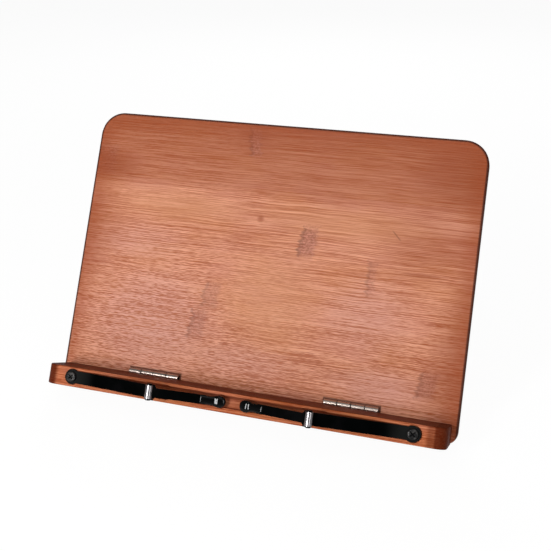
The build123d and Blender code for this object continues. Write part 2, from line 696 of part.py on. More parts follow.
def leg_pin():
    """Right-hand headed pin through the bracket's ear into the leg."""
    head_radius, head_thick = LEG_PIN_HEAD
    outer = leg_half + SIDE_GAP + SHEET_THICK + RUNNING_GAP
    pin = cylinder_x(LEG_PIN_RADIUS, leg_half - LEG_PIN_DEPTH + SEAT_GAP, outer)
    pin += cylinder_x(head_radius, outer, outer + head_thick)
    return opened_leg(pin)


def screws_behind(places):
    """Countersunk screws through sheet into the board's rear."""
    turned = Rot(180, 0, 0) * countersunk_screw(BOARD_SCREW_LENGTH)
    return group([Pos(x, y, board_back - SHEET_THICK) * turned for x, y in places])


def all_pieces():
    """Every piece by name, in the board's axes."""
    pieces = {
        "backboard": backboard(),
        "ledge_bar": ledge_bar(),
        "board_leaf_screws": board_leaf_screws(),
        "ledge_leaf_screws": ledge_leaf_screws(),
        "rear_leg": rear_leg(),
        "stay_rod": stay_rod(),
        "leg_bracket_screws": screws_behind(bracket_screw_places()),
        "rail_screws": screws_behind(rail_screw_places()),
    }
    left_x = -HINGE_SPACING / 2
    left_hand = {
        "hinge_board_leaf": board_leaf(left_x),
        "hinge_ledge_leaf": ledge_leaf(left_x),
        "hinge_pin": hinge_pin(left_x),
    }
    left_hand.update(clip_pieces())
    for name, piece in left_hand.items():
        pieces[f"left_{name}"] = piece
        pieces[f"right_{name}"] = mirrored(piece)
    right_hand = {
        "leg_bracket": leg_bracket(),
        "leg_pin": leg_pin(),
        "slotted_rail": slotted_rail(),
        "stay_link": stay_link(),
        "stay_pin": stay_pin(),
        "stay_spacer": stay_spacer(),
        "rod_cap": rod_cap(),
    }
    for name, piece in right_hand.items():
        pieces[f"right_{name}"] = piece
        pieces[f"left_{name}"] = mirrored(piece)
    return pieces


def main():
    os.makedirs("parts", exist_ok=True)
    standing = {name: stood_up(piece) for name, piece in all_pieces().items()}
    boxes = [piece.bounding_box() for piece in standing.values()]
    front = min(box.min.Y for box in boxes)
    back = max(box.max.Y for box in boxes)
    centring = Pos(0, -(front + back) / 2, 0)
    for name, piece in standing.items():
        export_step(centring * piece, f"parts/{name}.step")
    print("moved along y by", -(front + back) / 2)


main()
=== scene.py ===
from math import copysign, cos, pi, radians, sin

import bmesh
import bpy
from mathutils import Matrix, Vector


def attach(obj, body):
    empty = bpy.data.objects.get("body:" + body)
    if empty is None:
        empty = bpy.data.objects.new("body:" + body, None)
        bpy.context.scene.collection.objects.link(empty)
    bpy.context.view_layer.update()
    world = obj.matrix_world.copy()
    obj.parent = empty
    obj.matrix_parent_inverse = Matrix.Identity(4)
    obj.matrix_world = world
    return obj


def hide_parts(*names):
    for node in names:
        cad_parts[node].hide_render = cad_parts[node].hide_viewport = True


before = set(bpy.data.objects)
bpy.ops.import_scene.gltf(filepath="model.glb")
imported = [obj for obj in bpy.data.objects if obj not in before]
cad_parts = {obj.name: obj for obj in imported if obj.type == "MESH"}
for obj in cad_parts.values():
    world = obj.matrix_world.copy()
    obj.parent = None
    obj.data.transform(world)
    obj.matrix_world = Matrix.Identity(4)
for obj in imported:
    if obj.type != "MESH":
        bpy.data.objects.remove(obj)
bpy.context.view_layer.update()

# The board leans back by RECLINE. Its own axes are x along its width, u up its
# face from the ledge's top and n out of its front face, all in millimetres.
RECLINE = radians(28.5)
BOARD_ORIGIN = (0.0, -0.042347210, 0.016620)  # in metres
PER_METRE = 1000.0
LEG_OPEN = radians(50.0)
BOARD_HALF_WIDTH = 170.0
BOARD_TOP = 224.0
BOARD_TOP_CORNER = 20.5
BOARD_FRONT = (-1.5, -0.5)  # n at which a mask of the board's front starts and is full
LEDGE_HALF_WIDTH = 165.0
CHANNEL_HALF = 140.0
CHANNEL_FLOOR = (38.6, 38.2)  # n at which a mask of the channel's floor starts and is full
SCREW_ASIDE = 140.0
SCREW_TOP = 43.8
HINGE_ASIDE = 85.0
HINGE_HALF = 22.5


def linear(red, green, blue):
    """Scene colour of a display colour given as 0 to 255."""
    channels = []
    for value in (red, green, blue):
        share = value / 255
        channels.append(share / 12.92 if share <= 0.04045 else ((share + 0.055) / 1.055) ** 2.4)
    return (*channels, 1.0)


class Shader:
    """A material and short ways to add nodes to it."""

    def __init__(self, name):
        self.material = bpy.data.materials.new(name)
        self.material.use_nodes = True
        self.tree = self.material.node_tree
        self.surface = self.tree.nodes["Principled BSDF"]

    def feed(self, socket, value):
        """Link a socket to another one, or set it."""
        if isinstance(value, bpy.types.NodeSocket):
            self.tree.links.new(value, socket)
        else:
            socket.default_value = value

    def node(self, kind, inputs, **settings):
        """New node with its settings and inputs, by name or index."""
        made = self.tree.nodes.new("ShaderNode" + kind)
        for key, value in settings.items():
            setattr(made, key, value)
        for key, value in inputs.items():
            self.feed(made.inputs[key], value)
        return made

    def math(self, operation, first, second=0.0, third=0.0):
        """Result of one Math node."""
        made = self.node("Math", {0: first, 1: second, 2: third}, operation=operation)
        return made.outputs[0]

    def times(self, first, second):
        """Product of two values."""
        return self.math("MULTIPLY", first, second)

    def minus(self, first, second):
        """Difference of two values."""
        return self.math("SUBTRACT", first, second)

    def add(self, base, value, weight=None):
        """Sum of a base and a value, which can have a weight."""
        if weight is None:
            return self.math("ADD", base, value)
        return self.math("MULTIPLY_ADD", value, weight, base)

    def unsigned(self, value):
        """A value without its sign."""
        return self.math("ABSOLUTE", value)

    def largest(self, first, *others):
        """The largest of some values."""
        for value in others:
            first = self.math("MAXIMUM", first, value)
        return first

    def scaled(self, vector, scales):
        """Vector with each axis scaled on its own."""
        return self.node("VectorMath", {0: vector, 1: scales}, operation="MULTIPLY").outputs[0]

    def step(self, value, start, full, out_low=0.0, out_high=1.0):
        """Smooth step of a value from its start to where it is full, rising or falling."""
        inputs = {"Value": value, "From Min": start, "From Max": full}
        inputs.update({"To Min": out_low, "To Max": out_high})
        return self.node("MapRange", inputs, interpolation_type="SMOOTHSTEP").outputs[0]

    def noise(self, vector, scales, detail=0.0, roughness=0.5):
        """Noise about 0, with its own scale per axis, per millimetre."""
        inputs = {"Vector": self.scaled(vector, scales), "Scale": 1.0}
        inputs.update({"Detail": detail, "Roughness": roughness})
        return self.minus(self.node("TexNoise", inputs, noise_dimensions="3D").outputs["Fac"], 0.5)

    def mix(self, share, first, second):
        """Mix of two colours."""
        made = self.node("Mix", {"Factor": share}, data_type="RGBA")
        self.feed(made.inputs[6], first)
        self.feed(made.inputs[7], second)
        return made.outputs[2]

    def combine(self, x, y, z):
        """Vector from three values."""
        return self.node("CombineXYZ", {0: x, 1: y, 2: z}).outputs[0]

    def split(self, vector):
        """Three values of a vector."""
        return self.node("SeparateXYZ", {0: vector}).outputs[:3]

    def distance(self, vector):
        """Length of a vector."""
        return self.node("VectorMath", {0: vector}, operation="LENGTH").outputs["Value"]

    def corner_reach(self, x, y, x_edge, y_edge, radius):
        """How far a place lies beyond a line that runs inside two edges at a radius from them."""
        past_x = self.largest(self.minus(x, x_edge - radius), 0.0)
        past_y = self.largest(self.minus(y, y_edge - radius), 0.0)
        return self.distance(self.combine(past_x, past_y, 0.0))

    def bump(self, height, distance, strength):
        """Normal from a height, with the distance in metres."""
        inputs = {"Height": height, "Distance": distance, "Strength": strength}
        return self.node("Bump", inputs).outputs[0]

    def board_axes(self, turn=0.0):
        """Place on the object as x, u and n, turned further about x for the leg."""
        place = self.node("TexCoord", {}).outputs["Object"]
        away = self.node("VectorMath", {0: place, 1: BOARD_ORIGIN}, operation="SUBTRACT").outputs[0]
        inputs = {"Vector": away, "Angle": -(pi / 2 - RECLINE) - turn}
        turned = self.node("VectorRotate", inputs, rotation_type="X_AXIS").outputs[0]
        return self.scaled(turned, (PER_METRE, PER_METRE, PER_METRE))

    def finish(self, **inputs):
        """Set the surface shader's inputs and return the material."""
        for key, value in inputs.items():
            self.feed(self.surface.inputs[key.replace("_", " ")], value)
        return self.material


# Colours of the stained bamboo: pale streaks, deep streaks, and the darkest colour for its edges,
# marks and painted shade
BOARD_TONES = (linear(228, 160, 128), linear(168, 88, 52), linear(60, 22, 10))
LEDGE_TONES = (linear(206, 126, 88), linear(148, 66, 32), linear(84, 24, 4))
ROSY = linear(208, 138, 118)
AMBER = linear(198, 124, 74)
# Pale colour of the painted sheen on the lacquer
PAINTED_SHEEN = linear(214, 157, 143)
TAN = linear(204, 138, 98)
TOP_STAIN = linear(150, 68, 26)
EDGE_STAIN = linear(152, 66, 26)
# Dark stain, also the colour of the painted shade along the board's left edge
DARK_STAIN_AND_SHADE = linear(144, 62, 22)
MARK_DEEP = linear(138, 78, 60)
MARK_PALE = linear(190, 124, 106)

# Marks where the bamboo had its nodes: middle x and u, half width and half height, lean
# of the mark along u, and how strongly it shows
NODE_MARKS = (
    (32.0, 127.5, 6.5, 13.0, 0.10, 1.0),
    (-45.5, 74.0, 7.0, 11.0, 0.10, 0.6),
    (-54.0, 48.5, 7.0, 12.5, 0.10, 0.7),
    (-25.0, 208.0, 4.5, 13.0, -0.10, 0.7),
    (88.0, 104.0, 3.5, 15.0, 0.0, 0.5),
    (143.0, 26.0, 7.0, 11.0, 0.15, 0.8),
    (-160.0, 182.0, 9.0, 13.0, 0.0, 0.6),
)
MARK_FRAY = (9.0, 7.0)  # how far the grain frays a mark's sides and its ends
MARK_EDGE = (1.3, 0.5)  # shares of the half size at which a mark starts and is full
MARK_SHARE = 0.70
MARK_SPECKLE = (-0.14, 0.16)
MARK_LINE_PLACE = 0.9  # share of the half width at which the dark line at its left lies
MARK_LINE = (2.4, 0.4)  # distances from the line's middle at which it starts and is full
MARK_LINE_END = (1.05, 0.85)
MARK_LINE_SHARE = 0.34

# Wide areas with a tint of their own: middle x and u, half width and half height, strength
# Painted sheen of the lacquer, broad and strongest low down at the left
SHEEN_AREAS = (
    (-98.0, 46.0, 84.0, 66.0, 0.66),
    (-118.0, 112.0, 60.0, 26.0, 0.40),
    (88.0, 72.0, 52.0, 46.0, 0.45),
    (104.0, 18.0, 56.0, 22.0, 0.55),
    (-20.0, 22.0, 80.0, 22.0, 0.40),
)
TAN_AREAS = (
    (5.0, 76.0, 60.0, 54.0, 0.50),
    (60.0, 146.0, 110.0, 20.0, 0.45),
    (-85.0, 146.0, 90.0, 20.0, 0.45),
)
DARK_STAIN_AND_SHADE_AREAS = (
    (-160.0, 176.0, 46.0, 22.0, 0.60),
    (172.0, 36.0, 48.0, 110.0, 0.55),
    (160.0, 196.0, 70.0, 44.0, 0.55),
    (-26.0, 214.0, 22.0, 20.0, 0.35),
    # painted shade: darker along the board's left edge
    (-176.0, 112.0, 60.0, 70.0, 0.45),
    (132.0, 136.0, 70.0, 46.0, 0.30),
    (-11.5, 142.5, 4.5, 4.5, 0.60),
    (128.0, 111.0, 30.0, 2.6, 0.60),
)
AREA_EDGE = (1.0, 0.15)  # shares of the half size at which an area starts and is full
SHEEN_TONE = (0.1, 1.0, 0.2, 1.25)  # from deep to pale streaks, and the painted sheen's strength on both

# Darker stain from STAIN_STEP to the board's top: how far the grain frays its edge, where
# it starts and is full, and its strength at the step and at the top
STAIN_STEP = 165.0
STAIN_FRAY = 16.0
STAIN_EDGE = (-10.0, 7.0)
STAIN_STRENGTH = (0.50, 0.66)

SCRATCH = (104.0, 141.0, 4.5)  # middle x and u, and half its reach along x
SCRATCH_EDGE = (1.1, 0.4)
SCRATCH_STRENGTH = 0.35
LEAF_SHADOW_TOP = (5.9, 4.7)  # u at which the painted shadow line over a hinge starts and is full
LEAF_SHADOW_END = (1.6, 0.7)  # likewise, distances past the hinge's end
LEAF_SHADOW_STRENGTH = 0.8
EDGE_FADE = 26.0  # how far in from its edges the board's stain is darker
EDGE_START = 4.0
EDGE_STRENGTH = 0.50
RIM = (2.4, 1.2)  # distances from the edge at which the dark rim, stain with painted shade of the side faces, starts and is full

# Darker stain and painted shade of the ledge, each with the places where it starts and is full, and
# its strength
BOTH_ENDS = (12.5, 8.0)  # distances from the ledge's ends
RIGHT_END = (17.0, 13.0, 0.62)
# Stain and painted shade on the ledge's top
LEDGE_TOP_STAIN_AND_SHADE = (-0.35, -0.10, 0.84)  # from here on heights u
# Painted shadow under the channel's upper lip, fading at the channel's ends
LIP_SHADOW_EDGE = (-1.9, -2.7)
LIP_SHADOW_FADE = (-6.5, -3.6)
LIP_SHADOW_END = (6.0, 0.9)  # distance from the channel's ends, and strength
# Painted shade behind the ledge's front face: over the channel's floor, and stronger from its lower
# part down to the underside
FLOOR_SHADE_ALL = (-14.5, -13.5, 0.32)
FLOOR_SHADE_LOW = (-10.6, -11.6, 0.7)

# Glued strips of bamboo, and how their streaks bend
STRIP_WIDTH = 27.0
STRIP_START = 6.0
STRIP_SHIFT = 300.0
SWAY = 2.6
RIPPLE = 0.7

# Share of the short broken streaks: on ledge and leg, and on the board where it
# starts to grow, where it is full, and the share at both places
COARSE_SHARE = 0.3
COARSE_LOW_DOWN = (140.0, 50.0, 0.25, 1.0)
COARSE_LEFT = (70.0, -70.0, 0.5, 1.0)

TINT_FULL = 0.2
ROSY_SHARE = 0.28
AMBER_SHARE = 0.25
RIM_SHARE = 0.9
BAMBOO_ROUGHNESS = 0.46
GRAIN_DEPTH = 0.0003  # in metres


class Grain:
    """Grain of glued bamboo strips that run along x."""

    def __init__(self, shader, place, part):
        self.x, self.u, self.n = shader.split(place)
        across = shader.math("DIVIDE", shader.minus(self.u, STRIP_START), STRIP_WIDTH)
        strip = shader.math("FLOOR", across)
        chance = shader.node("TexWhiteNoise", {"W": strip}, noise_dimensions="1D").outputs["Value"]
        sway = shader.noise(place, (0.016, 0.03, 0.03), 1.0)
        ripple = shader.noise(place, (0.06, 0.10, 0.1), 1.0)
        choppy = shader.noise(place, (0.08, 0.10, 0.1), 1.0)
        self.bent = shader.add(shader.add(self.u, sway, SWAY), ripple, RIPPLE)
        shifted = shader.add(self.x, chance, STRIP_SHIFT)
        along = shader.combine(shifted, self.bent, self.n)
        jagged = shader.combine(shifted, shader.add(self.bent, choppy, 1.0), self.n)
        broken = shader.noise(jagged, (0.15, 1.80, 1.2), 1.0, 0.65)
        self.lines = shader.noise(along, (0.008, 1.15, 0.7))
        self.threads = shader.noise(along, (0.03, 1.8, 1.1), 1.0, 0.6)
        self.broken = shader.times(broken, self.coarseness(shader, part))
        self.streaks = shader.noise(along, (0.03, 0.36, 0.3), 1.0, 0.6)
        self.bands = shader.noise(along, (0.010, 0.11, 0.1), 1.0)
        self.cloud = shader.noise(place, (0.014, 0.024, 0.02), 1.0)
        self.strips = shader.minus(chance, 0.5)
        self.specks = shader.noise(place, (0.45, 0.6, 0.6), 1.0, 0.7)
        self.tint = shader.noise(along, (0.018, 0.034, 0.03), 2.0)

    def coarseness(self, shader, part):
        """Share of the short broken streaks, on the board larger low down and at the left."""
        if part != "board":
            return COARSE_SHARE
        low_down = shader.step(self.u, *COARSE_LOW_DOWN)
        return shader.times(low_down, shader.step(self.x, *COARSE_LEFT))

    def tone(self, shader):
        """How pale the bamboo is, mostly from 0 to 1."""
        weights = (
            (self.lines, 1.5),
            (self.threads, 2.5),
            (self.broken, 4.4),
            (self.streaks, 0.5),
            (self.bands, 0.5),
            (self.cloud, 0.4),
            (self.strips, 0.12),
        )
        tone = 0.5
        for streaks, weight in weights:
            tone = shader.add(tone, streaks, weight)
        return tone


def node_mark(shader, grain, mark):
    """Masks of one node mark: its whole area, and the dark line down its left side."""
    x, u, half_width, half_height, lean, strength = mark
    fray_x, fray_u = MARK_FRAY
    away_u = shader.minus(grain.u, u)
    away_x = shader.minus(grain.x, shader.add(x, away_u, lean))
    away_x = shader.add(away_x, grain.streaks, fray_x)
    away_u = shader.add(away_u, grain.specks, fray_u)
    across = shader.math("DIVIDE", shader.unsigned(away_x), half_width)
    along = shader.math("DIVIDE", shader.unsigned(away_u), half_height)
    area = shader.step(shader.largest(across, along), *MARK_EDGE, 0.0, strength)
    off_line = shader.unsigned(shader.add(away_x, half_width * MARK_LINE_PLACE))
    line = shader.step(along, *MARK_LINE_END, 0.0, strength)
    return area, shader.times(shader.step(off_line, *MARK_LINE), line)


def wide_areas(shader, grain, areas):
    """Soft mask of several wide areas."""
    mask = 0.0
    for x, u, half_width, half_height, strength in areas:
        across = shader.add(-x / half_width, grain.x, 1.0 / half_width)
        along = shader.add(-u / half_height, grain.bent, 1.0 / half_height)
        reach = shader.distance(shader.combine(across, along, 0.0))
        mask = shader.largest(shader.step(reach, *AREA_EDGE, 0.0, strength), mask)
    return mask


def top_stain(shader, grain):
    """Mask of the darker stain from STAIN_STEP up, with an edge that follows the grain."""
    start, full = STAIN_EDGE
    ragged = shader.add(grain.u, grain.bands, STAIN_FRAY)
    above = shader.step(ragged, STAIN_STEP + start, STAIN_STEP + full)
    return shader.times(above, shader.step(grain.u, STAIN_STEP, BOARD_TOP, *STAIN_STRENGTH))


def painted_leaf_shadow(shader, grain):
    """Mask of the painted shadow line round both hinges' leaves on the board's front."""
    start, full = LEAF_SHADOW_END
    aside = shader.unsigned(shader.minus(shader.unsigned(grain.x), HINGE_ASIDE))
    beside = shader.step(aside, HINGE_HALF + start, HINGE_HALF + full)
    line = shader.times(beside, shader.step(grain.u, *LEAF_SHADOW_TOP))
    return shader.times(line, shader.step(grain.n, *BOARD_FRONT, 0.0, LEAF_SHADOW_STRENGTH))


def scratch_line(shader, grain):
    """Mask of a short scratch that slants down to the right."""
    x, u, half_length = SCRATCH
    away_x = shader.minus(grain.x, x)
    away_u = shader.minus(grain.u, u)
    along = shader.unsigned(shader.minus(away_x, away_u))
    off = shader.unsigned(shader.add(away_x, away_u))
    length = shader.step(along, half_length * 2, half_length, 0.0, SCRATCH_STRENGTH)
    return shader.times(length, shader.step(off, *SCRATCH_EDGE))


def board_edges(shader, grain):
    """Masks of the darker stain towards the board's edges and of its dark rim, which is stain and
    painted shade of the side faces.
    """
    start, full = RIM
    aside = shader.unsigned(grain.x)
    reach = shader.corner_reach(aside, grain.u, BOARD_HALF_WIDTH, BOARD_TOP, EDGE_FADE)
    near = shader.step(reach, EDGE_START, EDGE_FADE, 0.0, EDGE_STRENGTH)
    reach = shader.corner_reach(aside, grain.u, BOARD_HALF_WIDTH, BOARD_TOP, BOARD_TOP_CORNER)
    return near, shader.step(reach, BOARD_TOP_CORNER - start, BOARD_TOP_CORNER - full)


def board_stain_sheen_and_shade(shader, grain, colour, tone, dark):
    """Colour of the board with all its stains, marks and lines, its painted sheen, shade and
    shadow, and the mask of its rim.
    """
    # painted sheen of the lacquer in wide areas, stronger on the pale streaks
    sheen = shader.times(wide_areas(shader, grain, SHEEN_AREAS), shader.step(tone, *SHEEN_TONE))
    colour = shader.mix(sheen, colour, PAINTED_SHEEN)
    colour = shader.mix(wide_areas(shader, grain, TAN_AREAS), colour, TAN)
    colour = shader.mix(top_stain(shader, grain), colour, TOP_STAIN)
    speckle = shader.add(grain.specks, grain.threads, 0.8)
    speckled = shader.mix(shader.step(speckle, *MARK_SPECKLE), MARK_DEEP, MARK_PALE)
    for mark in NODE_MARKS:
        area, line = node_mark(shader, grain, mark)
        colour = shader.mix(shader.times(area, MARK_SHARE), colour, speckled)
        colour = shader.mix(shader.times(line, MARK_LINE_SHARE), colour, dark)
    # darker stain, with painted shade along the left edge
    colour = shader.mix(wide_areas(shader, grain, DARK_STAIN_AND_SHADE_AREAS), colour, DARK_STAIN_AND_SHADE)
    # painted shadow round the hinge leaves
    colour = shader.mix(painted_leaf_shadow(shader, grain), colour, dark)
    colour = shader.mix(scratch_line(shader, grain), colour, dark)
    near_edge, rim = board_edges(shader, grain)
    return shader.mix(near_edge, colour, EDGE_STAIN), rim


def ledge_stain_and_shade(shader, grain):
    """Mask of the darker stain on the ledge's ends, stain and painted shade on its top, painted
    shade on its underside and channel floor, and a painted shadow under the channel's upper lip.
    """
    aside = shader.unsigned(grain.x)
    start, full = BOTH_ENDS
    both_ends = shader.step(aside, LEDGE_HALF_WIDTH - start, LEDGE_HALF_WIDTH - full)
    start, full, strength = RIGHT_END
    start, full = LEDGE_HALF_WIDTH - start, LEDGE_HALF_WIDTH - full
    right_end = shader.step(grain.x, start, full, 0.0, strength)
    # stain and painted shade on the top
    start, full, strength = LEDGE_TOP_STAIN_AND_SHADE
    top = shader.step(grain.u, start, full, 0.0, strength)
    # painted shadow under the channel's upper lip
    inset, strength = LIP_SHADOW_END
    lip = shader.times(shader.step(grain.u, *LIP_SHADOW_EDGE), shader.step(grain.u, *LIP_SHADOW_FADE))
    lip = shader.times(lip, shader.step(aside, CHANNEL_HALF, CHANNEL_HALF - inset, 0.0, strength))
    masks = [both_ends, right_end, top, lip]
    # painted shade on the channel's floor and the underside
    for start, full, strength in (FLOOR_SHADE_ALL, FLOOR_SHADE_LOW):
        deep = shader.step(grain.n, *CHANNEL_FLOOR, 0.0, strength)
        masks.append(shader.times(deep, shader.step(grain.u, start, full)))
    return shader.largest(*masks)


def bamboo(name, tones, part, turn=0.0, gloss=0.18):
    """Stained, lacquered bamboo with fine broken streaks, for the board, the ledge or the leg; the
    board and the ledge also get painted shade, and the board a painted sheen.
    """
    pale, deep, dark = tones
    shader = Shader(name)
    place = shader.board_axes(turn)
    if part == "leg":
        x, u, n = shader.split(place)
        place = shader.combine(u, x, n)
    grain = Grain(shader, place, part)
    tone = grain.tone(shader)
    colour = shader.mix(tone, deep, pale)
    colour = shader.mix(shader.step(grain.tint, 0.0, TINT_FULL, 0.0, ROSY_SHARE), colour, ROSY)
    colour = shader.mix(shader.step(grain.tint, 0.0, -TINT_FULL, 0.0, AMBER_SHARE), colour, AMBER)
    rim = 0.0
    if part == "board":
        colour, rim = board_stain_sheen_and_shade(shader, grain, colour, tone, dark)
    elif part == "ledge":
        rim = ledge_stain_and_shade(shader, grain)
    # darkest colour over the rim, stain and painted shade
    base = shader.mix(shader.times(rim, RIM_SHARE), colour, dark)
    rough = shader.add(BAMBOO_ROUGHNESS, grain.threads, 0.5)
    height = shader.add(shader.add(grain.streaks, grain.threads), grain.broken)
    normal = shader.bump(height, GRAIN_DEPTH, 0.7)
    return shader.finish(Base_Color=base, Roughness=rough, Normal=normal, Specular_IOR_Level=gloss)


DULL_METAL = linear(120, 112, 104)
ZINC = (linear(196, 199, 202), linear(150, 154, 160))
OXIDE = (linear(20, 20, 20), linear(64, 62, 60))
RECESS_SHADE = linear(1, 1, 1)
RECESS = (0.2, 0.7)  # depths below the screw's top at which the painted shade in its recess starts and is black
# Painted glint on the black paint round the pivot screws
SCREW_GLINT = linear(28, 29, 28)
GLINT_BY_SCREW = (23.0, 7.0)  # distances from a pivot screw at which the painted glint starts and is full


def metal(name, colour, roughness, lines, line_depth, wear=0.12):
    """Metal with fine finish lines and slightly uneven gloss."""
    shader = Shader(name)
    place = shader.board_axes()
    brushed = shader.noise(place, lines, 3.0, 0.6)
    patches = shader.add(shader.noise(place, (0.18, 0.18, 0.18), 3.0), 0.5)
    base = shader.mix(shader.times(patches, wear), colour, DULL_METAL)
    rough = shader.add(roughness, brushed, roughness * 0.8)
    normal = shader.bump(brushed, line_depth, 0.5)
    return shader.finish(Base_Color=base, Metallic=1.0, Roughness=rough, Normal=normal)


def galvanised(name):
    """Zinc plated sheet with a faint pattern of patches."""
    shader = Shader(name)
    place = shader.board_axes()
    cells = shader.node("TexVoronoi", {"Vector": place, "Scale": 0.35}, feature="F1")
    shade = shader.split(cells.outputs["Color"])[0]
    base = shader.mix(shader.times(shade, 0.5), *ZINC)
    rough = shader.add(0.30, shade, 0.18)
    normal = shader.bump(shader.noise(place, (1.6, 1.6, 1.6), 3.0), 0.00004, 0.5)
    return shader.finish(Base_Color=base, Metallic=1.0, Roughness=rough, Normal=normal)


def oxide_screw(name):
    """Black oxide with wear on top of the head, dull inside its recess, where the shade is painted
    black.
    """
    shader = Shader(name)
    start, full = RECESS
    place = shader.board_axes()
    patches = shader.noise(place, (0.3, 0.3, 0.3), 3.0)
    recess = shader.step(shader.split(place)[2], SCREW_TOP - start, SCREW_TOP - full)
    wear_and_glint = shader.mix(shader.step(patches, -0.1, 0.15), *OXIDE)
    # painted shade: the recess is black
    base = shader.mix(recess, wear_and_glint, RECESS_SHADE)
    rough = shader.add(0.24, recess, 0.7)
    normal = shader.bump(patches, 0.00002, 0.5)
    return shader.finish(Base_Color=base, Roughness=rough, Normal=normal, Specular_IOR_Level=0.24)


def painted(name, colour, rubbed, roughness, peel, gloss, grit=1.1, screw_glint=0.0):
    """Paint or dip with a fine uneven surface, which can have a painted glint round the pivot
    screws.
    """
    shader = Shader(name)
    start, full = GLINT_BY_SCREW
    place = shader.board_axes()
    patches = shader.noise(place, (0.10, 0.10, 0.10), 2.0)
    base = shader.mix(shader.step(patches, -0.05, 0.2), colour, rubbed)
    aside = shader.unsigned(shader.split(place)[0])
    # painted glint: lighter paint round the pivot screws
    wear_and_glint = shader.step(aside, SCREW_ASIDE - start, SCREW_ASIDE - full, 0.0, screw_glint)
    base = shader.mix(wear_and_glint, base, SCREW_GLINT)
    rough = shader.add(roughness, patches, roughness * 0.5)
    normal = shader.bump(shader.noise(place, (grit, grit, grit), 2.0), peel, 0.5)
    return shader.finish(Base_Color=base, Roughness=rough, Normal=normal, Specular_IOR_Level=gloss)


materials = {
    "board": bamboo("stained_bamboo_board", BOARD_TONES, "board"),
    "ledge": bamboo("stained_bamboo_ledge", LEDGE_TONES, "ledge", gloss=0.03),
    "leg": bamboo("stained_bamboo_leg", BOARD_TONES, "leg", turn=LEG_OPEN),
    "nickel": metal(
        "nickel_plate", linear(212, 196, 186),
        roughness=0.28, lines=(0.08, 0.8, 0.8), line_depth=0.000003,
    ),
    "sleeve": metal(
        "bright_sleeve", linear(156, 152, 154),
        roughness=0.29, lines=(0.4, 0.1, 0.4), line_depth=0.000003, wear=0.05,
    ),
    "steel": metal(
        "plain_steel", linear(188, 186, 184),
        roughness=0.30, lines=(0.6, 0.6, 0.6), line_depth=0.00002,
    ),
    "zinc": galvanised("zinc_steel"),
    "black_paint": painted(
        "black_paint", linear(1, 2, 2), linear(4, 4, 5),
        roughness=0.34, peel=0.00002, gloss=0.02, screw_glint=0.8,
    ),
    "black_dip": painted(
        "black_dip", linear(1, 2, 2), linear(2, 3, 3),
        roughness=0.07, peel=0.00012, gloss=0.22, grit=0.35,
    ),
    "screw": oxide_screw("black_oxide_screw"),
    "plastic": painted(
        "cap_plastic", linear(24, 24, 26), linear(34, 34, 36),
        roughness=0.45, peel=0.00003, gloss=0.4,
    ),
}

# The first word found in a node's name gives its finish
FINISH_BY_NAME = (
    ("backboard", "board"),
    ("ledge_bar", "ledge"),
    ("rear_leg", "leg"),
    ("leaf_screws", "nickel"),
    ("hinge_pin", "screw"),
    ("hinge_", "nickel"),
    ("clip_sleeve", "sleeve"),
    ("clip_pin", "black_paint"),
    ("clip_spring", "steel"),
    ("_arm", "black_paint"),
    ("clip_tip", "black_dip"),
    ("pivot_screw", "screw"),
    ("pivot_washer", "steel"),
    ("rod_cap", "plastic"),
    ("bracket", "zinc"),
    ("rail", "zinc"),
    ("stay_link", "zinc"),
    ("stay_", "steel"),
    ("leg_pin", "steel"),
)


def finish_of(name):
    """Material of a CAD node, by a part of its name."""
    for word, finish in FINISH_BY_NAME:
        if word in name:
            return materials[finish]
    raise ValueError(f"no finish for {name}")


for name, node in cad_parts.items():
    material = finish_of(name)
    if not node.data.materials:
        node.data.materials.append(material)
    for index in range(len(node.data.materials)):
        node.data.materials[index] = material


# Dipped tips of the page clips: middle in the board's axes, and the place along the arm,
# half width and half thickness of each ring, in millimetres
CLIP_SLEEVE = (64.5, -7.7, 57.4)
CLIP_TIP = (10.5, -7.7, 43.417)
TIP_RINGS = (
    (-15.6, 3.20, 0.70), (-15.4, 3.45, 1.00), (-14.6, 3.60, 1.25), (-12.0, 3.50, 1.35),
    (-9.0, 3.30, 1.40), (-7.0, 3.25, 1.40), (-5.4, 3.45, 1.42), (-4.2, 3.90, 1.52),
    (-3.0, 4.36, 1.84), (-1.8, 4.66, 2.24), (-0.6, 4.80, 2.43), (1.2, 4.70, 2.42),
    (3.2, 3.72, 2.10), (4.2, 2.50, 1.62), (4.7, 1.15, 0.90), (4.8, 0.40, 0.35),
)
RING_POINTS = 20
RING_POWER = 0.7  # below 1, a ring's cross-section bulges out towards its corners


def from_board(x, u, n):
    """Point in the row frame, in metres, from the board's axes in millimetres."""
    up = Vector((0.0, sin(RECLINE), cos(RECLINE)))
    out = Vector((0.0, -cos(RECLINE), sin(RECLINE)))
    return Vector(BOARD_ORIGIN) + (Vector((x, 0.0, 0.0)) + up * u + out * n) / PER_METRE


def flattened(value):
    """Sine or cosine pushed outwards, for rings with flat faces and round corners."""
    return copysign(abs(value) ** RING_POWER, value)


def tip_ring(mesh, side, place, half_width, half_thick):
    """Corners of one ring round a tip, at a place along the arm from the tip's middle."""
    along = Vector((CLIP_TIP[0] - CLIP_SLEEVE[0], CLIP_TIP[2] - CLIP_SLEEVE[2])).normalized()
    ring = []
    for index in range(RING_POINTS):
        angle = 2 * pi * index / RING_POINTS
        wide = half_width * flattened(cos(angle))
        thick = half_thick * flattened(sin(angle))
        x = CLIP_TIP[0] + along.x * place - along.y * thick
        n = CLIP_TIP[2] + along.y * place + along.x * thick
        ring.append(mesh.verts.new(from_board(side * x, CLIP_TIP[1] + wide, n)))
    return ring


